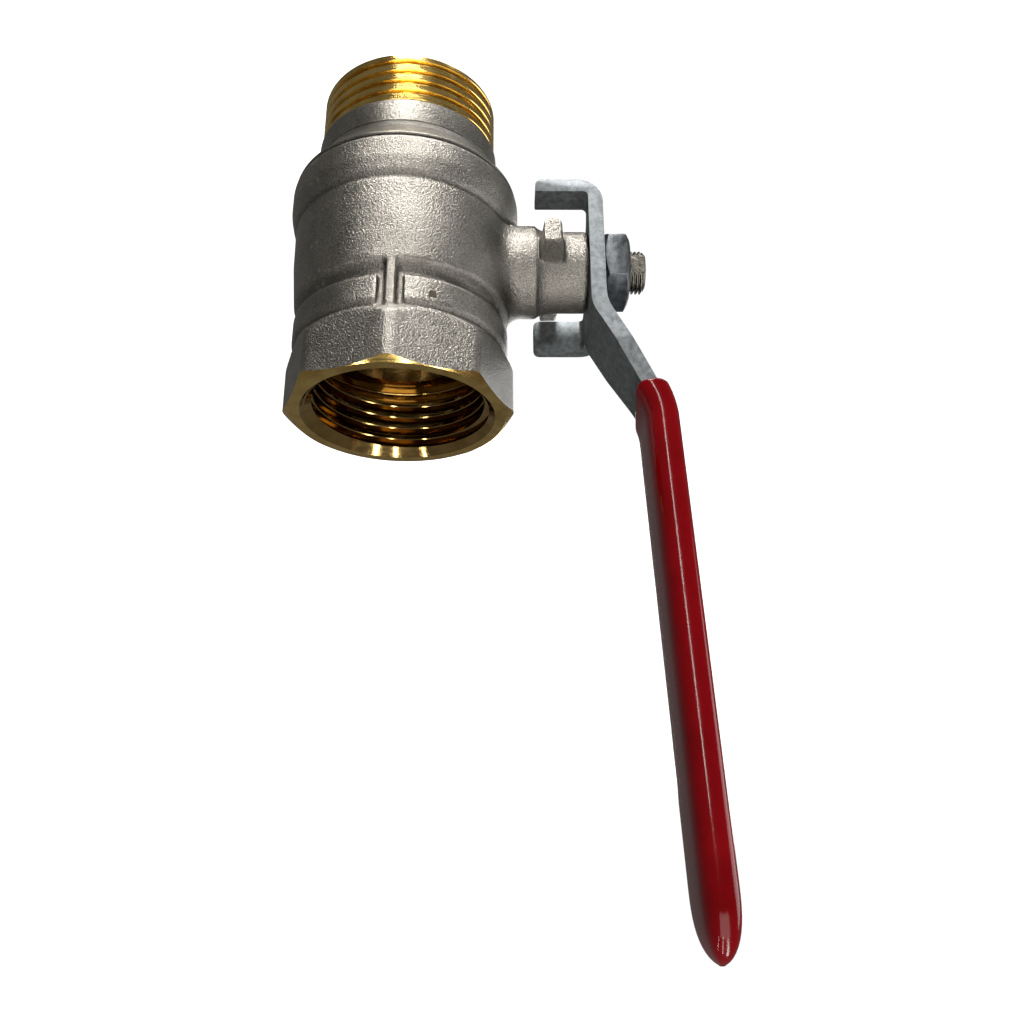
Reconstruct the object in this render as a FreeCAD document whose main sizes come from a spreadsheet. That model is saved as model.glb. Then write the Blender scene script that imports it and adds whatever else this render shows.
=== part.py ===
import FreeCAD, Part
import Sketcher
import math
import os
import re

# Ball valve, 1 inch, one male and one female pipe-thread port, quarter-turn lever.
# Millimetres. Origin: centre of the ball, where the flow axis meets the stem axis.
# +X: along the flow, out of the female port, the way the open lever points.
# +Z: up the stem. The lever closes clockwise seen from above.

doc = FreeCAD.newDocument("ball_valve")
sheet = doc.addObject("Spreadsheet::Sheet", "dims")

DRIVING = [
    # pipe threads, G1: crest radius outside, crest radius inside
    ("maleCrest", 16.62), ("maleEnd", -37.4), ("maleRoot", -25.5), ("maleChamfer", 1.2),
    ("femaleCrest", 15.15), ("femaleEnd", 30), ("femaleRoot", 18.4), ("reliefRadius", 16.7),
    ("mouthRadius", 17.1), ("flowRadius", 11.7), ("maleBore", 13.0), ("maleBoreEnd", -24),
    # forged housing, seen along the flow axis
    ("jointFace", -14), ("rimRadius", 21.2), ("rimEnd", -6.7), ("rimRound", 0.7), ("rimFade", 2.8),
    ("grooveRadius", 19.9),
    ("bulgeRadius", 20.2), ("bulgeEnd", 10.3), ("waistRadius", 18.1), ("ringStart", 13.3),
    ("ringRadius", 19.3), ("ringEnd", 18.2), ("octagonHalf", 19), ("faceRadius", 18.9), ("faceBack", 1.5),
    ("ribHalf", 0.85), ("ribGap", 2.3), ("chamberRadius", 17.3), ("chamberEnd", 9), ("pocketRadius", 15.1),
    ("pocketFront", 10.4), ("pocketFloor", 12.6), ("floorWall", 4.0),
    # screwed-in end connector
    ("collarRadius", 17.0), ("collarEnd", -20.7), ("flareRadius", 21.0), ("spigotRadius", 18.4),
    ("spigotEnd", -10), ("spigotGap", 0.05), ("jointRingRadius", 17.62), ("jointRingThick", 0.72),
    ("jointRingPlace", -12.4),
    # ball and seats
    ("ballRadius", 16.5), ("ballBore", 11.5), ("slotHalf", 2.55), ("slotFloor", 12.8),
    ("seatBore", 11.9), ("seatLip", 12.1), ("seatLand", 13.5), ("seatGap", 0.25), ("seatFront", 9.8),
    # neck and stem
    ("neckBase", 8.5), ("neckRadius", 7.5), ("neckStep", 24.6), ("neckTop", 33.8),
    ("stopHalf", 2.35), ("stopLow", 25.3), ("stopHigh", 28.85), ("stopReach", 13.3),
    ("stemRadius", 5.0), ("runningGap", 0.06), ("collarLow", 17.3), ("collarHigh", 19.3),
    ("collarHalf", 7.0), ("washerThick", 0.95), ("tangHalf", 2.45), ("tangReach", 6), ("tangLow", 12.95),
    ("ringGrooveRadius", 3.5), ("ringGrooveWidth", 1.7), ("lowRing", 22.25), ("highRing", 25.45),
    ("stemRingThick", 0.74), ("packingLow", 28.2), ("packingHigh", 29.8), ("glandTop", 33.4),
    ("glandRadius", 6.0), ("glandSlot", 1.6), ("glandSlotDeep", 1.2),
    ("screwRadius", 3.95), ("flatHalf", 3.0), ("stemTop", 44.75),
    # lever: bent steel strip
    ("leverLow", 34.1), ("leverThick", 2.7), ("headHalf", 8), ("shankHalf", 6.4),
    ("firstBend", 12.2), ("secondBend", 31.1), ("secondBendHigh", 44.36), ("shankEnd", 110.5),
    ("shankRise", 0.05), ("taperStart", 18.5), ("taperEnd", 26), ("bendInside", 1.2),
    ("crankRadius", 6),
    ("tabInside", -12.4), ("tabLow", 24.4), ("tabFar", -2.6), ("tabFillet", 2.3), ("headBack", -8.4),
    ("sideTabInside", 12.5), ("sideTabNear", 2.6), ("sideTabFar", 9.1),
    # dipped grip
    ("gripCoat", 1.65), ("gripStart", 28.3), ("gripEnd", 118.6), ("gripRound", 2.6), ("gripTaper", 8),
    # handle nut
    ("nutLow", 36.85), ("nutHigh", 41.6), ("nutHalf", 7.0), ("nutTurn", -55.7), ("nutChamfer", 0.9),
    # how far the through cuts reach
    ("cutDepth", 100),
]
ALIASES = {alias for alias, value in DRIVING}

for row, (alias, value) in enumerate(DRIVING, start=1):
    sheet.set(f"A{row}", alias)
    sheet.set(f"B{row}", str(value))
    sheet.setAlias(f"B{row}", alias)
doc.recompute()


def bound(formula):
    """The formula with each sheet alias written as an expression can read it."""
    def named(word):
        return ("dims." if word[0] in ALIASES else "") + word[0]
    return re.sub(r"[A-Za-z]\w*", named, str(formula))


def number(formula):
    """The formula's value now."""
    result = sheet.evalExpression(bound(formula))
    return float(getattr(result, "Value", result))


def bind(target, prop, formula):
    target.setExpression(prop, bound(formula))


def bodyNamed(name):
    body = doc.addObject("PartDesign::Body", name)
    body.Label = name
    return body


def originPlane(body, role):
    return next(item for item in body.Origin.OriginFeatures if item.Role == role)


def emptySketch(body, name, role, lift=None):
    """A sketch on one of the body's own origin planes, lifted along its normal by a formula."""
    sketch = body.newObject("Sketcher::SketchObject", name)
    sketch.AttachmentSupport = [(originPlane(body, role), "")]
    sketch.MapMode = "FlatFace"
    if lift is not None:
        bind(sketch, "AttachmentOffset.Base.z", lift)
    return sketch


def pinPoint(sketch, geometry, end, formulas):
    """Holds one point of a sketch at two formulas, measured from the sketch's origin."""
    for kind, axis, formula in (("DistanceX", -2, formulas[0]), ("DistanceY", -1, formulas[1])):
        if str(formula) == "0":
            sketch.addConstraint(Sketcher.Constraint("PointOnObject", geometry, end, axis))
            continue
        index = sketch.addConstraint(Sketcher.Constraint(kind, -1, 1, geometry, end, number(formula)))
        bind(sketch, f"Constraints[{index}]", formula)


def addOutline(sketch, corners):
    """A closed outline of straight edges through corners given as formulas."""
    points = [FreeCAD.Vector(number(x), number(y), 0) for x, y in corners]
    first = sketch.GeometryCount
    count = len(points)
    for index in range(count):
        edge = Part.LineSegment(points[index], points[(index + 1) % count])
        sketch.addGeometry(edge, False)
    for index in range(count):
        following = first + (index + 1) % count
        sketch.addConstraint(Sketcher.Constraint("Coincident", first + index, 2, following, 1))
        pinPoint(sketch, first + index, 1, corners[index])


def outline(body, name, role, corners, lift=None):
    sketch = emptySketch(body, name, role, lift)
    addOutline(sketch, corners)
    return sketch


def rectangle(lowX, highX, lowY, highY):
    return [(lowX, lowY), (highX, lowY), (highX, highY), (lowX, highY)]


def circle(body, name, role, radius, lift=None):
    sketch = emptySketch(body, name, role, lift)
    sketch.addGeometry(Part.Circle(FreeCAD.Vector(), FreeCAD.Vector(0, 0, 1), number(radius)), False)
    sketch.addConstraint(Sketcher.Constraint("Coincident", 0, 3, -1, 1))
    index = sketch.addConstraint(Sketcher.Constraint("Radius", 0, number(radius)))
    bind(sketch, f"Constraints[{index}]", radius)
    return sketch


def doubleD(body, name, role, radius, half):
    """A circle with two flats, square to Y, each half away from its centre."""
    sketch = emptySketch(body, name, role)
    reach, across = number(radius), number(half)
    corner = (reach ** 2 - across ** 2) ** 0.5
    whole = Part.Circle(FreeCAD.Vector(), FreeCAD.Vector(0, 0, 1), reach)
    turn = math.atan2(across, corner)
    for start in (-turn, math.pi - turn):
        sketch.addGeometry(Part.ArcOfCircle(whole, start, start + 2 * turn), False)
    for side in (1, -1):
        start = FreeCAD.Vector(side * corner, side * across, 0)
        end = FreeCAD.Vector(-side * corner, side * across, 0)
        sketch.addGeometry(Part.LineSegment(start, end), False)
    right, left, top, bottom = range(4)
    for first, second in ((right, top), (top, left), (left, bottom), (bottom, right)):
        sketch.addConstraint(Sketcher.Constraint("Coincident", first, 2, second, 1))
    for arc in (right, left):
        sketch.addConstraint(Sketcher.Constraint("Coincident", arc, 3, -1, 1))
    for flat in (top, bottom):
        sketch.addConstraint(Sketcher.Constraint("Horizontal", flat))
    sizes = [("Radius", (right,), radius), ("Radius", (left,), radius),
             ("DistanceY", (-1, 1, top, 1), half), ("DistanceY", (-1, 1, bottom, 1), f"-({half})")]
    for kind, args, formula in sizes:
        index = sketch.addConstraint(Sketcher.Constraint(kind, *args, number(formula)))
        bind(sketch, f"Constraints[{index}]", formula)
    return sketch


def regularCorners(sides, halfAcross, turn):
    """Corners of a regular polygon from its half width across flats; turn is its first corner."""
    corners = []
    for side in range(sides):
        angle = f"({turn} + {360 * side / sides}) * 1 deg"
        reach = f"({halfAcross}) / cos({180 / sides} deg)"
        corners.append((f"{reach} * cos({angle})", f"{reach} * sin({angle})"))
    return corners


def turned(body, name, corners, axis="H_Axis", cut=False):
    """A full turn of an XZ outline: H_Axis is the flow axis, V_Axis the stem axis."""
    sketch = outline(body, name + "_outline", "XZ_Plane", corners)
    kind = "PartDesign::Groove" if cut else "PartDesign::Revolution"
    feature = body.newObject(kind, name)
    feature.Profile = sketch
    feature.ReferenceAxis = (sketch, [axis])
    feature.Angle = 360
    return feature


def padded(body, name, sketch, length, both=False, cut=False, flip=False):
    """A Pad, or a Pocket where cut is set, of a length formula; both means half of it each way."""
    feature = body.newObject("PartDesign::Pocket" if cut else "PartDesign::Pad", name)
    feature.Profile = sketch
    bind(feature, "Length", length)
    if both:
        feature.Midplane = True
    feature.Reversed = flip
    return feature


def edgesNear(feature, places, reach=0.3):
    """Names of the edges along Y whose X and Z are near one of the given places."""
    doc.recompute()
    names = []
    for index, edge in enumerate(feature.Shape.Edges, start=1):
        ends = [vertex.Point for vertex in edge.Vertexes]
        if len(ends) != 2 or abs(ends[0].y - ends[1].y) < 4:
            continue
        middle = edge.CenterOfMass
        if any(abs(middle.x - x) < reach and abs(middle.z - z) < reach for x, z in places):
            names.append(f"Edge{index}")
    return names


def rounded(body, name, feature, edges, radius):
    fillet = body.newObject("PartDesign::Fillet", name)
    fillet.Base = (feature, edges)
    bind(fillet, "Radius", radius)
    return fillet


def makeBody():
    body = bodyNamed("valve_body")
    turned(body, "forging", [
        ("jointFace", "0"), ("jointFace", "rimRadius - rimRound"), ("jointFace + rimRound", "rimRadius"),
        ("rimEnd - rimFade", "rimRadius"), ("rimEnd", "rimRadius - 0.6"),
        ("rimEnd + 0.4", "grooveRadius"), ("rimEnd + 0.9", "bulgeRadius"),
        ("bulgeEnd - 8", "bulgeRadius - 0.2"), ("bulgeEnd", "bulgeRadius - 0.75"),
        ("bulgeEnd + 0.8", "waistRadius"), ("ringStart - 1", "waistRadius"),
        ("ringStart", "ringRadius"), ("ringEnd", "ringRadius"),
        ("ringEnd + 0.5", "octagonHalf - 0.4"), ("ringEnd + 1", "0")])
    flats = outline(body, "octagon_outline", "YZ_Plane", regularCorners(8, "octagonHalf", 0), "ringEnd")
    padded(body, "octagon", flats, "femaleEnd - ringEnd")
    turned(body, "octagon_front", [
        ("femaleEnd", "faceRadius"), ("femaleEnd + 1", "faceRadius"),
        ("femaleEnd + 1", "octagonHalf + 3"), ("femaleEnd - faceBack", "octagonHalf + 3"),
        ("femaleEnd - faceBack", "octagonHalf + 1.6")], cut=True)
    turned(body, "octagon_back", [
        ("ringEnd", "ringRadius"), ("ringEnd + 3", "octagonHalf + 2"),
        ("ringEnd", "octagonHalf + 2")], cut=True)
    turned(body, "neck", [
        ("0", "chamberRadius"), ("neckBase + 2", "chamberRadius"), ("neckBase + 2", "bulgeRadius - 0.8"),
        ("neckBase", "bulgeRadius + 1.4"), ("neckBase", "neckStep - 0.3"), ("neckRadius", "neckStep + 0.3"),
        ("neckRadius", "neckTop"), ("0", "neckTop")], axis="V_Axis")
    lug = rectangle("-stopHalf", "stopHalf", "stopLow", "stopHigh")
    stops = outline(body, "stops_outline", "XZ_Plane", lug)
    padded(body, "stops", stops, "2 * stopReach", both=True)
    gap = rectangle("bulgeEnd + 0.8", "ringEnd + 0.5", "-ribGap", "ribGap")
    for name, side in (("near_gap", 1), ("far_gap", -1)):
        sketch = outline(body, name + "_outline", "XZ_Plane", gap, f"{side} * (waistRadius + 0.3)")
        padded(body, name, sketch, "ringRadius - waistRadius", cut=True, flip=side == 1)
    rib = rectangle("bulgeEnd - 0.5", "ringEnd + 1", "-ribHalf", "ribHalf")
    ribs = outline(body, "ribs_outline", "XZ_Plane", rib)
    padded(body, "ribs", ribs, "2 * ringRadius + 0.1", both=True)
    turned(body, "waterway", [
        ("jointFace - 1", "0"), ("jointFace - 1", "spigotRadius + spigotGap"),
        ("spigotEnd + 0.1", "spigotRadius + spigotGap"), ("spigotEnd + 0.5", "chamberRadius"),
        ("chamberEnd", "chamberRadius"), ("pocketFront", "pocketRadius"), ("pocketFloor", "pocketRadius"),
        ("pocketFloor", "flowRadius"), ("pocketFloor + floorWall", "flowRadius"),
        ("pocketFloor + floorWall", "reliefRadius"), ("femaleRoot", "reliefRadius"),
        ("femaleRoot", "femaleCrest"), ("femaleEnd - mouthRadius + femaleCrest", "femaleCrest"),
        ("femaleEnd", "mouthRadius"), ("femaleEnd + 1", "mouthRadius"), ("femaleEnd + 1", "0")], cut=True)
    turned(body, "stem_bore", [
        ("0", "slotFloor"), ("collarHalf + 0.15", "slotFloor"),
        ("collarHalf + 0.15", "collarHigh + 0.05 + washerThick"),
        ("stemRadius + runningGap", "collarHigh + 0.05 + washerThick"),
        ("stemRadius + runningGap", "packingLow"), ("glandRadius + spigotGap", "packingLow"),
        ("glandRadius + spigotGap", "neckTop + 1"), ("0", "neckTop + 1")], axis="V_Axis", cut=True)
    return body


def makeConnector():
    body = bodyNamed("end_connector")
    turned(body, "turning", [
        ("maleEnd", "maleBore"), ("maleEnd", "maleCrest - maleChamfer"),
        ("maleEnd + maleChamfer", "maleCrest"), ("maleRoot", "maleCrest"),
        ("maleRoot + 0.4", "collarRadius"), ("collarEnd", "collarRadius"),
        ("collarEnd + 3.1", "collarRadius + 1"), ("jointFace - 1", "flareRadius - 0.7"),
        ("jointFace", "flareRadius"), ("jointFace", "spigotRadius"),
        ("jointRingPlace - 0.9", "spigotRadius"), ("jointRingPlace - 0.9", "spigotRadius - 1.5"),
        ("jointRingPlace + 0.9", "spigotRadius - 1.5"), ("jointRingPlace + 0.9", "spigotRadius"),
        ("spigotEnd", "spigotRadius"), ("spigotEnd", "pocketRadius"),
        ("-pocketFloor", "pocketRadius"), ("-pocketFloor", "flowRadius"),
        ("maleBoreEnd", "flowRadius"), ("maleBoreEnd - 1.3", "maleBore")])
    return body


def makeBall():
    sphere = doc.addObject("Part::Sphere", "ball_sphere")
    bind(sphere, "Radius", "ballRadius")
    bore = doc.addObject("Part::Cylinder", "ball_bore")
    bind(bore, "Radius", "ballBore")
    bind(bore, "Height", "3 * ballRadius")
    bore.Placement.Rotation = FreeCAD.Rotation(FreeCAD.Vector(0, 1, 0), 90)
    bind(bore, "Placement.Base.x", "-1.5 * ballRadius")
    slot = doc.addObject("Part::Box", "ball_slot")
    bind(slot, "Length", "2 * slotHalf")
    bind(slot, "Width", "3 * ballRadius")
    bind(slot, "Height", "ballRadius")
    bind(slot, "Placement.Base.x", "-slotHalf")
    bind(slot, "Placement.Base.y", "-1.5 * ballRadius")
    bind(slot, "Placement.Base.z", "slotFloor")
    bored = doc.addObject("Part::Cut", "ball_bored")
    bored.Base = sphere
    bored.Tool = bore
    ball = doc.addObject("Part::Cut", "ball")
    ball.Base = bored
    ball.Tool = slot
    ball.Label = "ball"
    return ball


def makeSeat(name, side):
    """A seat ring; side is 1 beside the female port and -1 beside the male port."""
    body = bodyNamed(name)
    lip = "sqrt(ballRadius ^ 2 - seatBore ^ 2) + seatGap"
    corners = [("pocketFloor", "seatBore"), ("pocketFloor", "pocketRadius - spigotGap"),
               ("seatFront", "pocketRadius - spigotGap"), ("seatFront", "seatLand"),
               (lip, "seatLip"), (lip, "seatBore")]
    turned(body, name + "_ring", [(f"{side} * ({x})", r) for x, r in corners])
    return body


def makeRing(name, middle, thick, place, alongFlow=False):
    """A round-section rubber ring about the flow axis or the stem axis."""
    ring = doc.addObject("Part::Torus", name)
    bind(ring, "Radius1", middle)
    bind(ring, "Radius2", thick)
    if alongFlow:
        ring.Placement.Rotation = FreeCAD.Rotation(FreeCAD.Vector(0, 1, 0), 90)
    bind(ring, "Placement.Base.x" if alongFlow else "Placement.Base.z", place)
    ring.Label = name
    return ring


def makeStem():
    body = bodyNamed("stem")
    grooves = []
    for place in ("lowRing", "highRing"):
        low, high = f"{place} - ringGrooveWidth / 2", f"{place} + ringGrooveWidth / 2"
        grooves += [("stemRadius", low), ("ringGrooveRadius", low),
                    ("ringGrooveRadius", high), ("stemRadius", high)]
    turned(body, "spindle", [
        ("0", "collarLow"), ("collarHalf", "collarLow"), ("collarHalf", "collarHigh"),
        ("stemRadius", "collarHigh")] + grooves + [
        ("stemRadius", "leverLow"), ("screwRadius", "leverLow"), ("screwRadius", "stemTop - 0.6"),
        ("screwRadius - 0.6", "stemTop"), ("0", "stemTop")], axis="V_Axis")
    tang = outline(body, "tang_outline", "XY_Plane",
                   rectangle("-tangHalf", "tangHalf", "-tangReach", "tangReach"), "tangLow")
    padded(body, "tang", tang, "collarLow - tangLow + 0.5")
    flats = [("near_flat", "-stemRadius - 1", "-flatHalf"), ("far_flat", "flatHalf", "stemRadius + 1")]
    for name, low, high in flats:
        sketch = outline(body, name + "_outline", "XY_Plane",
                         rectangle("-stemRadius - 1", "stemRadius + 1", low, high), "leverLow")
        padded(body, name, sketch, "stemTop - leverLow + 1", cut=True, flip=True)
    return body


def makeCollar(name, inside, outside, low, high):
    """A plain ring about the stem axis."""
    body = bodyNamed(name)
    corners = [(inside, low), (outside, low), (outside, high), (inside, high)]
    turned(body, name + "_ring", corners, axis="V_Axis")
    return body


def makeGland():
    body = makeCollar("gland_nut", "stemRadius + 0.2", "glandRadius", "packingHigh", "glandTop")
    slot = outline(body, "driver_slot_outline", "XZ_Plane",
                   rectangle("-glandSlot / 2", "glandSlot / 2", "glandTop - glandSlotDeep", "glandTop + 1"))
    padded(body, "driver_slot", slot, "3 * glandRadius", both=True, cut=True)
    return body


def shankLow(x):
    """Height of the straight shank's underside at x."""
    return f"secondBendHigh + shankRise * ({x} - secondBend)"


def makeLever():
    body = bodyNamed("lever")
    top = "(leverLow + leverThick)"
    slope = "((secondBendHigh - leverLow) / (secondBend - firstBend))"
    slopeThick = f"(leverThick * sqrt(1 + {slope} ^ 2))"
    topFirst = f"(firstBend + (leverThick - {slopeThick}) / {slope})"
    topSecond = f"(secondBend + (leverThick - {slopeThick}) / ({slope} - shankRise))"
    corners = [
        ("tabInside - leverThick", "tabLow"), ("tabInside", "tabLow"), ("tabInside", "leverLow"),
        ("firstBend", "leverLow"), ("secondBend", "secondBendHigh"), ("shankEnd", shankLow("shankEnd")),
        ("shankEnd", shankLow("shankEnd") + " + leverThick"),
        (topSecond, shankLow(topSecond) + " + leverThick"), (topFirst, top),
        ("tabInside - leverThick", top)]
    side = outline(body, "side_outline", "XZ_Plane", corners)
    strip = padded(body, "strip", side, "2 * headHalf", both=True)
    spots = [(number(x), number(z)) for x, z in corners]
    strip = rounded(body, "outer_bend", strip, edgesNear(strip, [spots[9]]), "bendInside + leverThick")
    strip = rounded(body, "inner_bend", strip, edgesNear(strip, [spots[2]]), "bendInside")
    crank = edgesNear(strip, [spots[3], spots[4], spots[7], spots[8]])
    strip = rounded(body, "crank_bends", strip, crank, "crankRadius")
    for name, turn in (("near_side", -1), ("far_side", 1)):
        waste = outline(body, name + "_outline", "XY_Plane", [
            ("taperStart", f"{turn} * headHalf"), ("taperEnd", f"{turn} * shankHalf"),
            ("shankEnd - 4", f"{turn} * shankHalf"), ("shankEnd + 0.5", f"{turn} * (shankHalf - 3)"),
            ("shankEnd + 3", f"{turn} * (headHalf + 1)"), ("taperStart", f"{turn} * (headHalf + 1)")])
        padded(body, name, waste, "cutDepth", cut=True, flip=True)
    corner = outline(body, "tab_gap_outline", "XY_Plane", [
        ("tabInside - 4", "tabFar"), ("headBack - tabFillet", "tabFar"), ("headBack", "tabFar + tabFillet"),
        ("headBack", "headHalf - 3"), ("headBack + 3", "headHalf"), ("headBack + 3", "headHalf + 1"),
        ("tabInside - 4", "headHalf + 1")])
    padded(body, "tab_gap", corner, "cutDepth", cut=True, flip=True)
    sideTab = outline(body, "side_tab_outline", "YZ_Plane", [
        ("headHalf - 1", "leverLow"), ("sideTabInside - 1", "leverLow"), ("sideTabInside", "leverLow - 1"),
        ("sideTabInside", "tabLow"), ("sideTabInside + leverThick", "tabLow"),
        ("sideTabInside + leverThick", "leverLow + leverThick - 3"),
        ("sideTabInside + leverThick - 3", top), ("headHalf - 1", top)], "sideTabNear")
    padded(body, "side_tab", sideTab, "sideTabFar - sideTabNear")
    hole = doubleD(body, "stem_hole_outline", "XY_Plane", "screwRadius + 0.1", "flatHalf + 0.05")
    padded(body, "stem_hole", hole, "cutDepth", cut=True, flip=True)
    return body


def makeGrip():
    body = bodyNamed("grip")
    slope = "((secondBendHigh - leverLow) / (secondBend - firstBend))"
    slopeThick = f"(leverThick * sqrt(1 + {slope} ^ 2))"
    slopeCoat = f"(gripCoat * sqrt(1 + {slope} ^ 2))"
    lowFirst = f"(leverLow + {slope} * (gripStart - firstBend) - {slopeCoat})"
    lowSecond = f"(secondBend + ({slopeCoat} - gripCoat) / ({slope} - shankRise))"
    highStart = f"(gripStart - {slope} * (leverThick + 2 * gripCoat) / sqrt(1 + {slope} ^ 2))"
    highFirst = f"(leverLow + {slope} * ({highStart} - firstBend) + {slopeThick} + {slopeCoat})"
    shift = f"(({slopeThick} - leverThick + {slopeCoat} - gripCoat) / ({slope} - shankRise))"
    highSecond = f"(secondBend - {shift})"
    corners = [
        ("gripStart", lowFirst), (lowSecond, shankLow(lowSecond) + " - gripCoat"),
        ("gripEnd - gripTaper", shankLow("gripEnd - gripTaper") + " - gripCoat"),
        ("gripEnd - 1.5", shankLow("gripEnd") + " + leverThick / 2 - 1.6"),
        ("gripEnd", shankLow("gripEnd") + " + leverThick / 2"),
        ("gripEnd - 1.5", shankLow("gripEnd") + " + leverThick / 2 + 1.6"),
        ("gripEnd - gripTaper", shankLow("gripEnd - gripTaper") + " + leverThick + gripCoat"),
        (highSecond, shankLow(highSecond) + " + leverThick + gripCoat"), (highStart, highFirst)]
    sleeve = padded(body, "sleeve", outline(body, "sleeve_outline", "XZ_Plane", corners),
                    "2 * (shankHalf + gripCoat)", both=True)
    for name, turn in (("near_corner", -1), ("far_corner", 1)):
        waste = outline(body, name + "_outline", "XY_Plane", [
            ("gripEnd - 12", f"{turn} * (shankHalf + gripCoat)"), ("gripEnd - 5", f"{turn} * shankHalf"),
            ("gripEnd", f"{turn} * 2"), ("gripEnd + 1", f"{turn} * 2"),
            ("gripEnd + 1", f"{turn} * (shankHalf + gripCoat + 1)"),
            ("gripEnd - 12", f"{turn} * (shankHalf + gripCoat + 1)")])
        sleeve = padded(body, name, waste, "cutDepth", cut=True, flip=True)
    doc.recompute()
    long = [f"Edge{index}" for index, edge in enumerate(sleeve.Shape.Edges, start=1)
            if edge.Length > 60 and abs(edge.CenterOfMass.y) > 5]
    rounded(body, "long_edges", sleeve, long, "gripRound")
    top = f"(secondBend + (leverThick - {slopeThick}) / ({slope} - shankRise))"
    cavity = outline(body, "cavity_outline", "XZ_Plane", [
        ("gripStart - 6", f"leverLow + {slope} * (gripStart - 6 - firstBend)"),
        ("secondBend", "secondBendHigh"), ("shankEnd", shankLow("shankEnd")),
        ("shankEnd", shankLow("shankEnd") + " + leverThick"), (top, shankLow(top) + " + leverThick"),
        ("gripStart - 6", f"leverLow + {slope} * (gripStart - 6 - firstBend) + {slopeThick}")])
    padded(body, "cavity", cavity, "2 * shankHalf", both=True, cut=True)
    return body


def makeNut():
    body = bodyNamed("handle_nut")
    corners = regularCorners(6, "nutHalf", "nutTurn")
    hexagon = outline(body, "hexagon_outline", "XY_Plane", corners, "nutLow")
    padded(body, "hexagon", hexagon, "nutHigh - nutLow")
    corner = "nutHalf / cos(30 deg)"
    for name, face, inward in (("top_chamfer", "nutHigh", -1), ("bottom_chamfer", "nutLow", 1)):
        turned(body, name, [
            ("nutHalf - 0.2", face), (corner + " + 0.5", f"{face} + {inward} * nutChamfer"),
            (corner + " + 0.5", f"{face} - {inward} * 1"), ("nutHalf - 0.2", f"{face} - {inward} * 1")],
            axis="V_Axis", cut=True)
    hole = circle(body, "hole_outline", "XY_Plane", "screwRadius + spigotGap")
    padded(body, "hole", hole, "cutDepth", cut=True, flip=True)
    return body


subparts = [
    makeBody(),
    makeConnector(),
    makeRing("connector_o_ring", "jointRingRadius", "jointRingThick", "jointRingPlace", alongFlow=True),
    makeBall(),
    makeSeat("seat_ring_female_side", 1),
    makeSeat("seat_ring_male_side", -1),
    makeStem(),
    makeCollar("thrust_washer", "stemRadius + 0.15", "collarHalf + 0.1", "collarHigh + 0.05",
               "collarHigh + 0.05 + washerThick"),
    makeRing("stem_o_ring_lower", "stemRadius - stemRingThick + 0.03", "stemRingThick", "lowRing"),
    makeRing("stem_o_ring_upper", "stemRadius - stemRingThick + 0.03", "stemRingThick", "highRing"),
    makeCollar("packing_ring", "stemRadius + runningGap", "glandRadius", "packingLow", "packingHigh"),
    makeGland(),
    makeLever(),
    makeGrip(),
    makeNut(),
]
doc.recompute()

for item in doc.Objects:
    if "Invalid" in item.State or "Error" in item.State:
        raise RuntimeError(f"{item.Name} did not compute: {item.State}")
for piece in subparts:
    if piece.Shape.isNull() or not piece.Shape.isValid() or len(piece.Shape.Solids) != 1:
        raise RuntimeError(f"{piece.Label} is not one valid solid")

os.makedirs("parts", exist_ok=True)
for piece in subparts:
    piece.Shape.exportStep(f"parts/{piece.Label}.step")
    box = piece.Shape.BoundBox
    print(f"{piece.Label:24s} {piece.Shape.Volume:10.1f} mm3  x {box.XMin:.1f} {box.XMax:.1f}"
          f"  y {box.YMin:.1f} {box.YMax:.1f}  z {box.ZMin:.1f} {box.ZMax:.1f}")
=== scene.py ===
import math
import bpy
from mathutils import Matrix, Vector


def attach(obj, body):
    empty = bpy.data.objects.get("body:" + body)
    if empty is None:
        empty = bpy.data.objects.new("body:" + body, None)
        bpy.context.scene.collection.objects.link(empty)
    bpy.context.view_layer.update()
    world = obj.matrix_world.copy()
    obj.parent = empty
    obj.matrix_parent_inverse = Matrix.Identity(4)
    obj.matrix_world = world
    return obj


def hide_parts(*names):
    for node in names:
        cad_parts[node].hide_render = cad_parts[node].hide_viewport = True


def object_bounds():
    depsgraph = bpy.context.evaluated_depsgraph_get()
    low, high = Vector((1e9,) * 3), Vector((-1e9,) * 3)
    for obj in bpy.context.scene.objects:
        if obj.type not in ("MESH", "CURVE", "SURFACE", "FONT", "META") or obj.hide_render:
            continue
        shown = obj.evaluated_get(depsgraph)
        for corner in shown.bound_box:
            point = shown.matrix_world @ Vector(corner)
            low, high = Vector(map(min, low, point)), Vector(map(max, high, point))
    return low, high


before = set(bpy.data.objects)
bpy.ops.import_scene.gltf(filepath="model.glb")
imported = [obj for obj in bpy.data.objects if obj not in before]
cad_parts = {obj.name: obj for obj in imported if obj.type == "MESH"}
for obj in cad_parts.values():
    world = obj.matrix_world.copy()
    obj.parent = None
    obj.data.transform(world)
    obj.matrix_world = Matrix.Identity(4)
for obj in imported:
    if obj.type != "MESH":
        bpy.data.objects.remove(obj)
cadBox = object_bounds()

mm = 0.001
fullTurn = 2 * math.pi
scene = bpy.context.scene
scene.view_settings.view_transform = "Standard"


def deselectAll():
    if bpy.context.object and bpy.context.object.mode != "OBJECT":
        bpy.ops.object.mode_set(mode="OBJECT")
    bpy.ops.object.select_all(action="DESELECT")


def makeActive(piece):
    deselectAll()
    piece.select_set(True)
    bpy.context.view_layer.objects.active = piece


def applyModifier(piece, kind, **settings):
    makeActive(piece)
    modifier = piece.modifiers.new(kind.lower(), kind)
    for name, value in settings.items():
        setattr(modifier, name, value)
    bpy.ops.object.modifier_apply(modifier=modifier.name)


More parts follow.
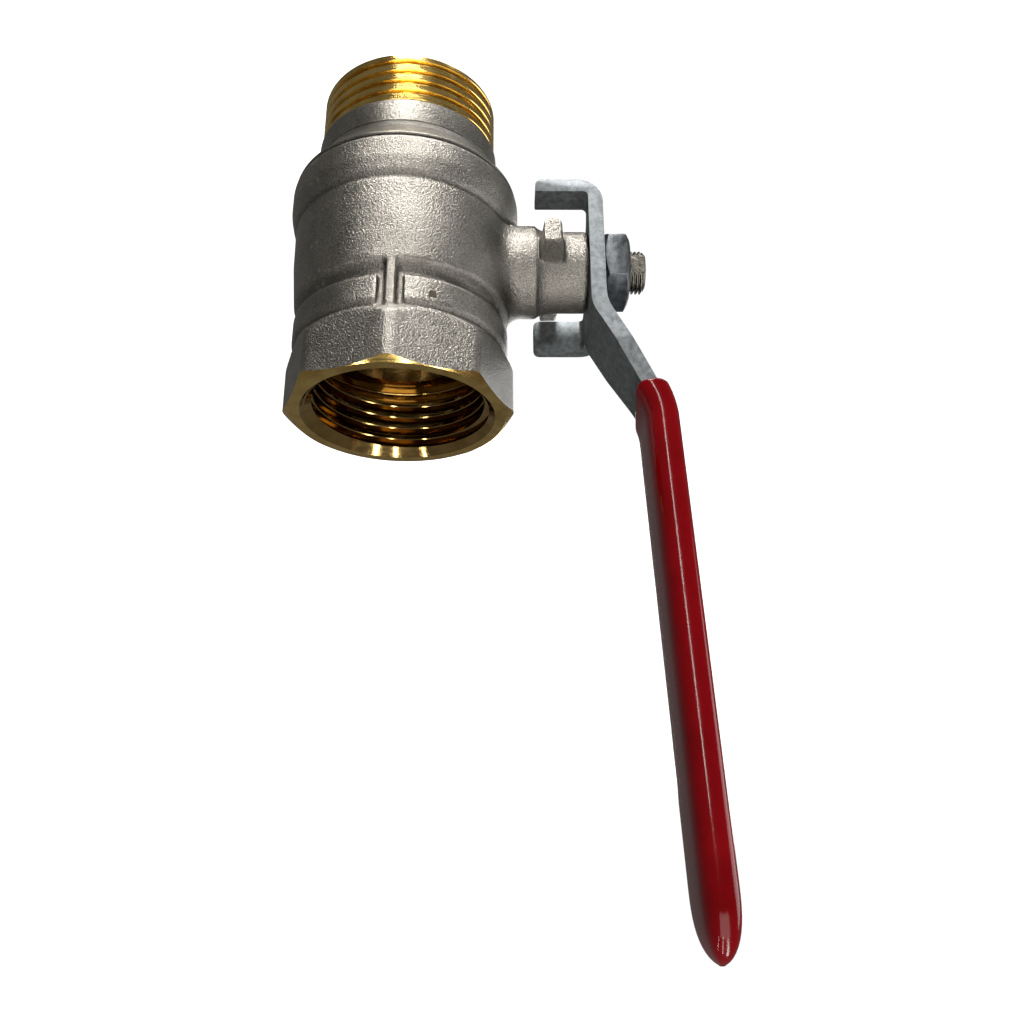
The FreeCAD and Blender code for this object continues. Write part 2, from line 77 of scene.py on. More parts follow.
def startPoint(name, place):
    # one vertex, ready to be extruded along an outline
    deselectAll()
    bpy.ops.mesh.primitive_plane_add(size=mm, location=place)
    piece = bpy.context.object
    piece.name = name
    bpy.ops.object.transform_apply(location=True, rotation=True, scale=True)
    bpy.ops.object.mode_set(mode="EDIT")
    bpy.ops.mesh.select_all(action="SELECT")
    bpy.ops.mesh.merge(type="CENTER")
    return piece


def drawOutline(name, points):
    # an edge chain through the points, left in edit mode with its last vertex selected
    piece = startPoint(name, points[0])
    for before, after in zip(points, points[1:]):
        step = Vector(after) - Vector(before)
        bpy.ops.mesh.extrude_region_move(TRANSFORM_OT_translate={"value": step})
    return piece


def roundCorners(corners):
    # corners are (across, up, radius): each corner with a radius becomes an arc
    path = []
    count = len(corners)
    for index, corner in enumerate(corners):
        here = Vector(corner[:2])
        radius = corner[2] if len(corner) > 2 else 0
        if radius <= 0:
            path.append(here)
            continue
        back = (Vector(corners[index - 1][:2]) - here).normalized()
        ahead = (Vector(corners[(index + 1) % count][:2]) - here).normalized()
        half = math.acos(max(-1, min(1, back.dot(ahead)))) / 2
        reach = radius / math.tan(half)
        centre = here + (back + ahead).normalized() * radius / math.sin(half)
        first = here + back * reach - centre
        turn = (here + ahead * reach - centre).angle_signed(first)
        steps = max(2, math.ceil(abs(turn) / math.radians(13)))
        for step in range(steps + 1):
            path.append(centre + Matrix.Rotation(turn * step / steps, 2) @ first)
    return path


def closeChain(piece, count):
    # joins the chain's last vertex to its first
    bpy.ops.mesh.select_all(action="DESELECT")
    bpy.ops.object.mode_set(mode="OBJECT")
    piece.data.vertices[0].select = True
    piece.data.vertices[count - 1].select = True
    bpy.ops.object.mode_set(mode="EDIT")
    bpy.ops.mesh.edge_face_add()


def turnOnLathe(name, corners, axis="X", steps=128):
    # corners are (along, radius, round) in millimetres: a closed section spun about the axis
    path = roundCorners(corners)
    place = (lambda p: (p.x * mm, 0, p.y * mm)) if axis == "X" else (lambda p: (p.y * mm, 0, p.x * mm))
    piece = drawOutline(name, [place(p) for p in path])
    if corners[0][1] > 0.01:
        closeChain(piece, len(path))
    bpy.ops.mesh.select_all(action="SELECT")
    bpy.ops.mesh.spin(steps=steps, angle=fullTurn, center=(0, 0, 0),
                      axis=(1, 0, 0) if axis == "X" else (0, 0, 1))
    bpy.ops.mesh.select_all(action="SELECT")
    bpy.ops.mesh.remove_doubles(threshold=0.002 * mm)
    bpy.ops.mesh.normals_make_consistent(inside=False)
    bpy.ops.object.mode_set(mode="OBJECT")
    return piece


def cutPlate(name, corners, plane, low, high):
    # a flat outline in XZ, XY or YZ, extruded along the third axis from low to high
    place = {"XZ": lambda p: (p.x * mm, low * mm, p.y * mm),
             "XY": lambda p: (p.x * mm, p.y * mm, low * mm),
             "YZ": lambda p: (low * mm, p.x * mm, p.y * mm)}[plane]
    move = {"XZ": (0, 1, 0), "XY": (0, 0, 1), "YZ": (1, 0, 0)}[plane]
    piece = drawOutline(name, [place(p) for p in roundCorners(corners)])
    bpy.ops.mesh.select_all(action="SELECT")
    bpy.ops.mesh.edge_face_add()
    bpy.ops.mesh.extrude_region_move(TRANSFORM_OT_translate={"value": Vector(move) * (high - low) * mm})
    bpy.ops.mesh.select_all(action="SELECT")
    bpy.ops.mesh.normals_make_consistent(inside=False)
    bpy.ops.object.mode_set(mode="OBJECT")
    return piece


def combine(piece, tool, how):
    # UNION, DIFFERENCE or INTERSECT; the tool's material comes with its faces
    applyModifier(piece, "BOOLEAN", object=tool, operation=how, solver="EXACT", material_mode="TRANSFER")
    bpy.data.objects.remove(tool, do_unlink=True)
    return piece


def threadRod(name, crest, root, pitch, low, high, axis="X", steps=96, flat=0.12):
    # one pitch of the thread form, screwed along the axis and closed at both ends; flat is half a crest's share
    deep = crest - root
    half = [(0, crest), (flat, crest - 0.02 * deep), (flat + 0.05, crest - 0.12 * deep),
            (0.36, root + 0.12 * deep), (0.41, root)]
    form = [(share * pitch, radius) for share, radius in half]
    form += [(pitch - along, radius) for along, radius in reversed(form)]
    if axis == "X":
        points = [((low + along) * mm, 0, radius * mm) for along, radius in form]
    else:
        points = [(radius * mm, 0, (low + along) * mm) for along, radius in form]
    piece = drawOutline(name, points)
    bpy.ops.object.mode_set(mode="OBJECT")
    turns = math.ceil((high - low) / pitch)
    applyModifier(piece, "SCREW", axis=axis, angle=fullTurn, screw_offset=pitch * mm, iterations=turns,
                  steps=steps, render_steps=steps, use_merge_vertices=True, merge_threshold=0.002 * mm)
    makeActive(piece)
    bpy.ops.object.mode_set(mode="EDIT")
    bpy.ops.mesh.select_all(action="SELECT")
    bpy.ops.mesh.remove_doubles(threshold=0.002 * mm)
    unit = Vector((1, 0, 0)) if axis == "X" else Vector((0, 0, 1))
    middle = (low + (turns + 1) * pitch / 2) * mm
    for outwards in (-1, 1):
        bpy.ops.mesh.select_all(action="DESELECT")
        bpy.ops.mesh.select_non_manifold(extend=False)
        bpy.ops.object.mode_set(mode="OBJECT")
        for vertex in piece.data.vertices:
            if vertex.select and (vertex.co.dot(unit) - middle) * outwards < 0:
                vertex.select = False
        for edge in piece.data.edges:
            edge.select = all(piece.data.vertices[index].select for index in edge.vertices) and edge.select
        bpy.ops.object.mode_set(mode="EDIT")
        bpy.ops.mesh.extrude_region_move(TRANSFORM_OT_translate={"value": unit * outwards * pitch * mm})
        bpy.ops.mesh.merge(type="CENTER")
    bpy.ops.mesh.select_all(action="SELECT")
    bpy.ops.mesh.normals_make_consistent(inside=False)
    bpy.ops.object.mode_set(mode="OBJECT")
    return piece


def joinPieces(first, *others):
    deselectAll()
    for piece in others:
        piece.select_set(True)
    first.select_set(True)
    bpy.context.view_layer.objects.active = first
    bpy.ops.object.join()
    return first


def shadeSmooth(piece, degrees=32):
    makeActive(piece)
    bpy.ops.object.shade_smooth_by_angle(angle=math.radians(degrees))


def crispMachining(piece, slot, degrees=11):
    # the lathe's edges stay sharp on the faces of one material, whatever the smoothing elsewhere
    makeActive(piece)
    bpy.ops.object.mode_set(mode="EDIT")
    bpy.ops.mesh.select_mode(type="FACE")
    bpy.ops.mesh.select_all(action="DESELECT")
    piece.active_material_index = slot
    bpy.ops.object.material_slot_select()
    bpy.ops.mesh.hide(unselected=True)
    bpy.ops.mesh.select_all(action="DESELECT")
    bpy.ops.mesh.select_mode(type="EDGE")
    bpy.ops.mesh.edges_select_sharp(sharpness=math.radians(degrees))
    bpy.ops.mesh.mark_sharp()
    bpy.ops.mesh.reveal()
    bpy.ops.mesh.select_mode(type="VERT")
    bpy.ops.object.mode_set(mode="OBJECT")


def paint(piece, *materials):
    piece.data.materials.clear()
    for material in materials:
        piece.data.materials.append(material)


def newMaterial(name, **settings):
    material = bpy.data.materials.new(name)
    material.use_nodes = True
    shader = material.node_tree.nodes["Principled BSDF"]
    for socket, value in settings.items():
        shader.inputs[socket.replace("_", " ")].default_value = value
    return material, material.node_tree, shader


def addNode(tree, kind, **settings):
    node = tree.nodes.new("ShaderNode" + kind)
    for name, value in settings.items():
        setattr(node, name, value)
    return node


def objectPoint(tree, stretch=(1, 1, 1)):
    # object coordinates, stretched where a pattern has a grain
    place = addNode(tree, "TexCoord")
    mapping = addNode(tree, "Mapping")
    mapping.inputs["Scale"].default_value = stretch
    tree.links.new(place.outputs["Object"], mapping.inputs["Vector"])
    return mapping.outputs["Vector"]


def noise(tree, point, scale, detail=3, roughness=0.55):
    node = addNode(tree, "TexNoise")
    node.inputs["Scale"].default_value = scale
    node.inputs["Detail"].default_value = detail
    node.inputs["Roughness"].default_value = roughness
    tree.links.new(point, node.inputs["Vector"])
    return node.outputs["Fac"]


def ramp(tree, value, stops):
    node = addNode(tree, "ValToRGB")
    for index, (place, colour) in enumerate(stops):
        if index < 2:
            stop = node.color_ramp.elements[index]
            stop.position = place
        else:
            stop = node.color_ramp.elements.new(place)
        stop.color = (*colour, 1) if len(colour) == 3 else colour
    tree.links.new(value, node.inputs["Fac"])
    return node.outputs["Color"]


def grey(value):
    return (value, value, value)


def spread(tree, value, low, high, fromLow=0.3, fromHigh=0.7):
    node = addNode(tree, "MapRange")
    for name, number in (("From Min", fromLow), ("From Max", fromHigh), ("To Min", low), ("To Max", high)):
        node.inputs[name].default_value = number
    tree.links.new(value, node.inputs["Value"])
    return node.outputs["Result"]


def bump(tree, shader, height, strength, distance, under=None):
    node = addNode(tree, "Bump")
    node.inputs["Strength"].default_value = strength
    node.inputs["Distance"].default_value = distance
    tree.links.new(height, node.inputs["Height"])
    if under:
        tree.links.new(under, node.inputs["Normal"])
    tree.links.new(node.outputs["Normal"], shader.inputs["Normal"])
    return node.outputs["Normal"]


def mixColours(tree, factor, first, second, blend="MIX"):
    node = addNode(tree, "Mix", data_type="RGBA", blend_type=blend)
    for socket, value in ((node.inputs[0], factor), (node.inputs[6], first), (node.inputs[7], second)):
        if isinstance(value, (int, float)):
            socket.default_value = value
        elif isinstance(value, tuple):
            socket.default_value = (*value, 1)
        else:
            tree.links.new(value, socket)
    return node.outputs[2]


nickelFinish = {"dark": (0.335, 0.32, 0.29), "light": (0.43, 0.41, 0.375), "roughness": (0.30, 0.44),
                "grain": 3500, "grainDepth": 0.34 * mm, "pits": 1500}


def blastedNickel(name, finish, grainStrength=0.55):
    # nickel plate over a sand-blasted forging: fine grain, cloudy tone, a few small pits, with painted shade in creases
    # and painted highlight on sharp edges
    material, tree, shader = newMaterial(name, Metallic=1.0)
    point = objectPoint(tree)
    cloud = noise(tree, point, 170, 4)
    grain = noise(tree, point, finish["grain"], 2, 0.6)
    tone = ramp(tree, cloud, [(0.30, finish["dark"]), (0.62, finish["light"])])
    speck = ramp(tree, grain, [(0.34, grey(0.52)), (0.62, grey(1.0))])
    # painted shade in creases and hollows (darker where pointiness is low) and painted highlight on sharp edges
    # (brighter where it is high), multiplied into the base colour
    form = addNode(tree, "NewGeometry")
    creaseShadeEdgeHighlight = ramp(tree, form.outputs["Pointiness"], [(0.44, grey(0.35)), (0.50, grey(0.92)), (0.56, grey(1.25))])
    grained = mixColours(tree, 1.0, tone, speck, "MULTIPLY")
    tree.links.new(mixColours(tree, 1.0, grained, creaseShadeEdgeHighlight, "MULTIPLY"), shader.inputs["Base Color"])
    tree.links.new(spread(tree, grain, *finish["roughness"]), shader.inputs["Roughness"])
    pits = addNode(tree, "TexVoronoi")
    pits.inputs["Scale"].default_value = finish["pits"]
    tree.links.new(point, pits.inputs["Vector"])
    under = bump(tree, shader, pits.outputs["Distance"], 0.3, 0.10 * mm)
    bump(tree, shader, grain, grainStrength, finish["grainDepth"], under)
    return material


brassFinish = {"shade": (0.60, 0.39, 0.10), "bright": (0.84, 0.60, 0.20), "roughness": (0.13, 0.24),
               "toolMarks": 9000}


def machinedBrass(name, finish, grain=(1, 0.02, 0.02)):
    # turned brass: tool marks run round the flow axis, so the noise is squeezed along it
    material, tree, shader = newMaterial(name, Metallic=1.0)
    marks = noise(tree, objectPoint(tree, grain), finish["toolMarks"], 2)
    cloud = noise(tree, objectPoint(tree), 260, 3)
    tree.links.new(ramp(tree, cloud, [(0.32, finish["shade"]), (0.60, finish["bright"])]),
                   shader.inputs["Base Color"])
    tree.links.new(spread(tree, marks, *finish["roughness"]), shader.inputs["Roughness"])
    bump(tree, shader, marks, 0.35, 0.008 * mm)
    return material


zincFinish = {"shade": (0.18, 0.20, 0.215), "bright": (0.34, 0.37, 0.39), "roughness": (0.46, 0.64),
              "spangle": 1100}


def zincPlate(name, finish):
    # bright zinc over rolled strip: a mottled spangle and fine sparkle
    material, tree, shader = newMaterial(name, Metallic=0.85)
    point = objectPoint(tree)
    spangle = addNode(tree, "TexVoronoi", feature="F1")
    spangle.inputs["Scale"].default_value = finish["spangle"]
    tree.links.new(point, spangle.inputs["Vector"])
    mottled = noise(tree, point, 900, 4, 0.65)
    tone = ramp(tree, mottled, [(0.34, finish["shade"]), (0.62, finish["bright"])])
    flake = ramp(tree, spangle.outputs["Color"], [(0.0, grey(0.78)), (0.8, grey(1.0))])
    tree.links.new(mixColours(tree, 1.0, tone, flake, "MULTIPLY"), shader.inputs["Base Color"])
    tree.links.new(spread(tree, mottled, *finish["roughness"]), shader.inputs["Roughness"])
    bump(tree, shader, mottled, 0.5, 0.03 * mm)
    return material


def plainFinish(name, low, high, rough, scale, depth, **settings):
    # two close tones and a fine bump, for the small parts
    material, tree, shader = newMaterial(name, **settings)
    point = objectPoint(tree)
    pattern = noise(tree, point, scale, 3)
    tree.links.new(ramp(tree, pattern, [(0.32, low), (0.66, high)]), shader.inputs["Base Color"])
    tree.links.new(spread(tree, pattern, *rough), shader.inputs["Roughness"])
    bump(tree, shader, noise(tree, point, scale * 3, 2), 0.4, depth)
    return material


nickel = blastedNickel("blastedNickel", nickelFinish)
turnedNickel = blastedNickel("turnedNickel", {**nickelFinish, "dark": (0.24, 0.23, 0.205), "light": (0.31, 0.297, 0.268),
                                              "roughness": (0.36, 0.48)}, 0.25)
brass = machinedBrass("machinedBrass", brassFinish)
# the bore's brass is a darker copy of the machined brass, painted shade for the inside of the port, and smoother for
# crisp highlight columns
boreBrassPaintedShade = machinedBrass("boredBrassPaintedShade", {**brassFinish, "shade": (0.30, 0.19, 0.06), "bright": (0.46, 0.31, 0.11),
                                         "roughness": (0.07, 0.13)})
zinc = zincPlate("zincPlatedSteel", zincFinish)
darkZinc = plainFinish("darkZincNut", (0.085, 0.094, 0.105), (0.17, 0.185, 0.20), (0.30, 0.45), 900, 0.01 * mm,
                       Metallic=0.9)
stemMetal = plainFinish("platedStem", (0.09, 0.085, 0.075), (0.17, 0.16, 0.14), (0.28, 0.42), 1200, 0.01 * mm,
                        Metallic=1.0)
vinyl = plainFinish("redVinyl", (0.175, 0.0, 0.002), (0.23, 0.0005, 0.004), (0.11, 0.16), 130, 0.02 * mm,
                    Specular_IOR_Level=0.28, IOR=1.5)
oxide = plainFinish("brownChip", (0.05, 0.035, 0.02), (0.12, 0.085, 0.05), (0.6, 0.8), 1500, 0.02 * mm)
chrome = plainFinish("polishedChrome", (0.72, 0.73, 0.75), (0.82, 0.83, 0.85), (0.05, 0.10), 300, 0.002 * mm,
                     Metallic=1.0)
teflon = plainFinish("whitePtfe", (0.78, 0.78, 0.75), (0.86, 0.86, 0.84), (0.42, 0.52), 600, 0.005 * mm)
rubber = plainFinish("blackRubber", (0.014, 0.014, 0.014), (0.03, 0.03, 0.03), (0.5, 0.65), 900, 0.01 * mm)
print("finishes ready")


forging = {"rimRadius": 21.2, "rimEnd": -6.7, "grooveRadius": 19.85, "bulge": 20.2, "bulgeEnd": 10.3,
           "waist": 18.0, "ringStart": 13.4, "ring": 19.3, "ringEnd": 18.2, "notch": 18.6,
           "flats": 19.0, "length": 30.0, "start": -14.0, "voxel": 0.34, "neckFillet": 1.8,
           "ribHalf": 0.85, "ribGap": 2.3, "ribTop": 19.4, "faceRadius": 18.9, "faceBack": 1.0,
           "chip": (16.6, -17.97, 6.93), "chipSize": (1.1, 0.2, 1.2)}


def boxAt(name, low, high, soften=0):
    deselectAll()
    centre = [(a + b) / 2 * mm for a, b in zip(low, high)]
    bpy.ops.mesh.primitive_cube_add(size=1, location=centre)
    piece = bpy.context.object
    piece.name = name
    piece.scale = [(b - a) * mm for a, b in zip(low, high)]
    bpy.ops.object.transform_apply(location=True, rotation=True, scale=True)
    if soften:
        applyModifier(piece, "BEVEL", width=soften * mm, segments=3, limit_method="NONE")
    return piece


def remesh(piece, voxel, smooth=0):
    applyModifier(piece, "REMESH", mode="VOXEL", voxel_size=voxel * mm)
    if smooth:
        applyModifier(piece, "SMOOTH", factor=0.5, iterations=smooth)
    return piece


def makeForging(f):
    # the drum and neck first, with the fillet between them grown by swelling and shrinking
    drum = turnOnLathe("valveBody", [(-9, 0), (-9, f["grooveRadius"] - 0.5), (-5, f["bulge"]), (2, f["bulge"] - 0.1),
                                     (f["bulgeEnd"], f["bulge"] - 0.75), (12, 17), (12, 0)])
    collar = turnOnLathe("neckBase", [(10, 0), (10, 8.5), (24.6, 8.5, 0.5), (24.9, 7.5), (29, 7.5), (29, 0)], "Z")
    drum = remesh(joinPieces(drum, collar), 0.5)
    applyModifier(drum, "DISPLACE", strength=f["neckFillet"] * mm, mid_level=0)
    remesh(drum, 0.5, 2)
    applyModifier(drum, "DISPLACE", strength=-f["neckFillet"] * mm, mid_level=0)
    remesh(drum, 0.45, 2)
    return drum


def makeValveBody(f):
    drum = makeForging(f)
    core = turnOnLathe("core", [
        (f["start"], 0), (f["start"], f["rimRadius"], 0.7), (f["rimEnd"] - 2.8, f["rimRadius"], 3),
        (f["rimEnd"], f["rimRadius"] - 0.6, 0.5), (f["rimEnd"] + 0.7, f["grooveRadius"], 0.3),
        (f["rimEnd"] + 1.5, f["bulge"], 0.6), (2, f["bulge"] - 0.1), (f["bulgeEnd"], f["bulge"] - 0.75, 0.6),
        (f["bulgeEnd"] + 0.8, f["waist"], 0.4), (f["ringStart"] - 0.5, f["waist"], 0.4),
        (f["ringStart"] + 0.2, f["ring"], 0.4), (f["ringEnd"], f["ring"], 0.5),
        (f["ringEnd"] + 0.7, f["notch"], 0.3), (22, f["notch"] - 0.6), (22, 0)])
    drumClip = turnOnLathe("drumClip", [(-5.6, 0), (-5.6, 60), (9.3, 60), (9.3, 0)])
    combine(drum, drumClip, "INTERSECT")
    bpy.ops.mesh.primitive_cylinder_add(vertices=8, radius=f["flats"] / math.cos(math.pi / 8) * mm,
                                        depth=(f["length"] - 16) * mm,
                                        location=((f["length"] + 20) / 2 * mm, 0, 0), rotation=(0, math.pi / 2, 0))
    octagon = bpy.context.object
    bpy.ops.object.transform_apply(location=True, rotation=True, scale=True)
    applyModifier(octagon, "BEVEL", width=1.0 * mm, segments=4, limit_method="ANGLE",
                  angle_limit=math.radians(30))
    taper = turnOnLathe("taper", [(17, 0), (17, f["notch"] - 1), (18.9, f["notch"] - 0.1, 0.8),
                                  (21.6, f["flats"] + 1.9, 1.5), (31.4, f["flats"] + 1.9), (31.4, 0)])
    combine(octagon, taper, "INTERSECT")
    gaps = [boxAt("ribGap", (f["bulgeEnd"] + 0.85, side * 21 - 3, -f["ribGap"]),
                  (f["ringEnd"] + 0.8, side * 21 + 3, f["ribGap"])) for side in (-1, 1)]
    for gap in gaps:
        combine(core, gap, "DIFFERENCE")
    ribs = [boxAt("rib", (f["bulgeEnd"] - 0.8, min(0, side * f["ribTop"]), -f["ribHalf"]),
                  (f["ringEnd"] + 1.2, max(0, side * f["ribTop"]), f["ribHalf"]), 0.3) for side in (-1, 1)]
    neck = turnOnLathe("neck", [(20, 0), (20, 8.5), (24.5, 8.5, 0.3), (24.8, 7.45, 0.3), (33.8, 7.45, 0.35), (33.8, 0)],
                       "Z")
    stops = []
    for side in (-1, 1):
        low, high = sorted((side * 6.5, side * 13.3))
        stop = cutPlate("stop", [(-2.5, 25.7, 1.2), (2.2, 25.7, 0.25), (2.2, 28.85, 0.25), (-2.5, 28.85, 1.2)],
                        "XZ", low, high)
        for vertex in stop.data.vertices:
            if abs(vertex.co.y) < 8 * mm:
                vertex.co.x *= 1.3
                vertex.co.z = 27.2 * mm + (vertex.co.z - 27.2 * mm) * 1.4
        stops.append(stop)
    body = joinPieces(drum, core, octagon, neck, *ribs, *stops)
    body.name = "valveBody"
    remesh(body, f["voxel"], 3)
    paint(body, nickel)
    return body


def machineValveBody(body):
    # everything the lathe cuts after plating shows raw brass
    f = forging
    front = turnOnLathe("front", [
        (30, 12), (30, f["faceRadius"]), (30 - f["faceBack"], 20.6), (30 - f["faceBack"], 26), (34, 26), (34, 12)])
    waterway = turnOnLathe("waterway", [
        (-20, 0), (-20, 18.45), (-9.9, 18.45), (-9.5, 17.3), (9, 17.3), (10.4, 15.1), (12.6, 15.1), (12.6, 11.7),
        (16.6, 11.7), (16.6, 16.7, 0.4), (18.4, 16.7, 0.4), (18.9, 15.15), (28.1, 15.15), (30.05, 17.15),
        (34, 17.15), (34, 0)], steps=160)
    tap = threadRod("tap", 15.1, 16.62, 2.309, 15.8, 31, steps=160)
    combine(tap, turnOnLathe("tapReach", [(18.3, 0), (18.3, 20), (30.6, 20), (30.6, 0)]), "INTERSECT")
    seat = turnOnLathe("joint", [(-30, 0), (-30, 30), (-14, 30), (-14, 0)])
    bore = turnOnLathe("stemBore", [(10, 0), (10, 7.15), (20.3, 7.15), (20.3, 5.06), (28.2, 5.06), (28.2, 6.05),
                                    (33.3, 6.05), (40, 6.6), (40, 0)], "Z", steps=64)
    # the waterway and tap faces get the darker bore brass, painted shade inside the port
    for tool, finish in ((front, brass), (seat, brass), (waterway, boreBrassPaintedShade), (tap, boreBrassPaintedShade), (bore, brass)):
        paint(tool, finish)
        combine(body, tool, "DIFFERENCE")
    deselectAll()
    bpy.ops.mesh.primitive_cube_add(size=1, location=Vector(f["chip"]) * mm, rotation=(math.radians(-21), 0, 0))
    chip = bpy.context.object
    chip.scale = Vector(f["chipSize"]) * mm
    bpy.ops.object.transform_apply(location=True, rotation=True, scale=True)
    paint(chip, oxide)
    joinPieces(body, chip)
    shadeSmooth(body, 30)
    for index, material in enumerate(body.data.materials):
        if material in (brass, boreBrassPaintedShade):
            crispMachining(body, index)
    return body


valveBody = machineValveBody(makeValveBody(forging))
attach(valveBody, "housing")
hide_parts("valve_body")
print("body forged and machined", len(valveBody.data.polygons))


connector = {"end": -37.4, "crest": 16.62, "root": 15.65, "pitch": 2.309, "threadEnd": -25.5, "collar": 17.0,
             "collarEnd": -20.7, "flare": 20.95}


def makeConnector(c):
    blank = turnOnLathe("endConnector", [
        (c["threadEnd"] - 2.3, 12), (c["threadEnd"] - 2.3, 14.9), (c["threadEnd"] - 0.4, 15.1),
        (c["threadEnd"], c["collar"], 0.35), (c["collarEnd"] - 0.12, c["collar"] + 0.02),
        (c["collarEnd"], c["collar"] - 0.1), (c["collarEnd"] + 0.2, c["collar"] + 0.05),
        (-18.9, 17.7, 3), (-14.9, c["flare"] - 0.15, 0.8), (-14.4, c["flare"], 0.2),
        (-14.18, c["flare"] - 0.6), (-14.18, 19.4), (-14.03, 19.4), (-14.03, 18.4), (-13.3, 18.4), (-13.3, 16.9), (-11.5, 16.9), (-11.5, 18.4), (-10, 18.4), (-10, 15.1),
        (-12.6, 15.1), (-12.6, 12)], steps=160)
    paint(blank, turnedNickel)
    thread = turnOnLathe("thread", [
        (c["end"], 11), (c["end"], 15.4, 0.1), (c["end"] + 1.15, c["crest"] - 0.02, 0.2),
        (c["threadEnd"] - 0.2, c["crest"] - 0.02), (c["threadEnd"] + 0.2, 15.2), (c["threadEnd"] + 0.2, 11)],
        steps=160)
    paint(thread, brass)
    rod = threadRod("rod", c["crest"], c["root"], c["pitch"], c["end"] - 3.6, c["threadEnd"] + 0.2, steps=160,
                    flat=0.22)
    paint(rod, brass)
    combine(thread, rod, "INTERSECT")
    combine(blank, thread, "UNION")
    bore = turnOnLathe("bore", [(-40, 0), (-40, 13.6), (c["end"] - 0.02, 13.6), (c["end"] + 0.6, 13.0), (-25.3, 13.0),
                                (-24, 11.7), (-5, 11.7), (-5, 0)], steps=128)
    paint(bore, brass)
    combine(blank, bore, "DIFFERENCE")
    shadeSmooth(blank, 30)
    crispMachining(blank, 1)
    return blank


endConnector = makeConnector(connector)
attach(endConnector, "housing")
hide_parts("end_connector")
print("end connector turned", len(endConnector.data.polygons))


spindle = {"screw": 3.95, "screwRoot": 3.5, "pitch": 0.75, "flatHalf": 3.0, "top": 44.75, "low": 34.1}


def makeStem(s):
    blank = turnOnLathe("valveStem", [
        (17.3, 0), (17.3, 7, 0.2), (19.3, 7, 0.2), (19.3, 5), (21.4, 5), (21.4, 3.5), (23.1, 3.5), (23.1, 5),
        (24.6, 5), (24.6, 3.5), (26.3, 3.5), (26.3, 5), (s["low"], 5, 0.1), (s["low"], 3.6),
        (s["top"] - 4, 3.2), (s["top"] - 4, 0)], "Z", steps=72)
    tang = boxAt("tang", (-2.45, -6, 12.95), (2.45, 6, 17.8), 0.2)
    combine(blank, tang, "UNION")
    rod = threadRod("rod", s["screw"], s["screwRoot"], s["pitch"], 32, 46.5, "Z", steps=72)
    screw = turnOnLathe("screw", [(s["low"] - 0.5, 0), (s["low"] - 0.5, 4.0), (s["top"] - 0.7, 4.0),
                                  (s["top"], 3.25, 0.15), (s["top"], 0)], "Z", steps=72)
    combine(rod, screw, "INTERSECT")
    flats = boxAt("flats", (-6, -s["flatHalf"], 30), (6, s["flatHalf"], 50))
    combine(rod, flats, "INTERSECT")
    combine(blank, rod, "UNION")
    applyModifier(blank, "BEVEL", width=0.06 * mm, segments=2, limit_method="ANGLE", angle_limit=math.radians(60))
    paint(blank, stemMetal)
    shadeSmooth(blank, 30)
    return blank


nutSize = {"low": 36.85, "high": 41.6, "half": 7.0, "turn": -55.7, "faceRadius": 6.25}


def makeNut(n):
    deselectAll()
    corner = n["half"] / math.cos(math.pi / 6)
    bpy.ops.mesh.primitive_cylinder_add(vertices=6, radius=corner * mm, depth=(n["high"] - n["low"]) * mm,
                                        location=(0, 0, (n["high"] + n["low"]) / 2 * mm),
                                        rotation=(0, 0, math.radians(n["turn"] + 90)))
    nut = bpy.context.object
    nut.name = "handleNut"
    bpy.ops.object.transform_apply(location=True, rotation=True, scale=True)
    spinning = turnOnLathe("chamfer", [
        (n["low"], 0), (n["low"], n["half"] - 0.35, 0.1), (n["low"] + 0.9, corner + 0.25),
        (n["high"] - 1.15, corner + 0.25), (n["high"], n["faceRadius"], 0.15), (n["high"], 0)], "Z", steps=96)
    combine(nut, spinning, "INTERSECT")
    applyModifier(nut, "BEVEL", width=0.12 * mm, segments=2, limit_method="ANGLE", angle_limit=math.radians(25))
    mouth = turnOnLathe("mouth", [(n["low"] - 1, 0), (n["low"] - 1, 4.5), (n["low"], 4.5), (n["low"] + 0.5, 4.0),
                                  (n["high"] - 0.5, 4.0), (n["high"], 4.5), (n["high"] + 1, 4.5), (n["high"] + 1, 0)],
                        "Z", steps=72)
    combine(nut, mouth, "DIFFERENCE")
    paint(nut, darkZinc)
    shadeSmooth(nut, 24)
    return nut


valveStem = makeStem(spindle)
handleNut = makeNut(nutSize)
for piece, node, slot in ((valveStem, "stem", "stem_brass"), (handleNut, "handle_nut", "zinc_nut")):
    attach(piece, "operator")
    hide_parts(node)
print("stem and nut made")


strip = {"thick": 2.7, "low": 34.1, "half": 8.0, "shankHalf": 6.4, "firstBend": 11.6, "secondBend": 30.3,
         "secondHigh": 44.36, "rise": 0.05, "end": 110.5, "tabInside": -12.4, "tabLow": 24.4}


def shankLow(s, x):
    return s["secondHigh"] + s["rise"] * (x - s["secondBend"])


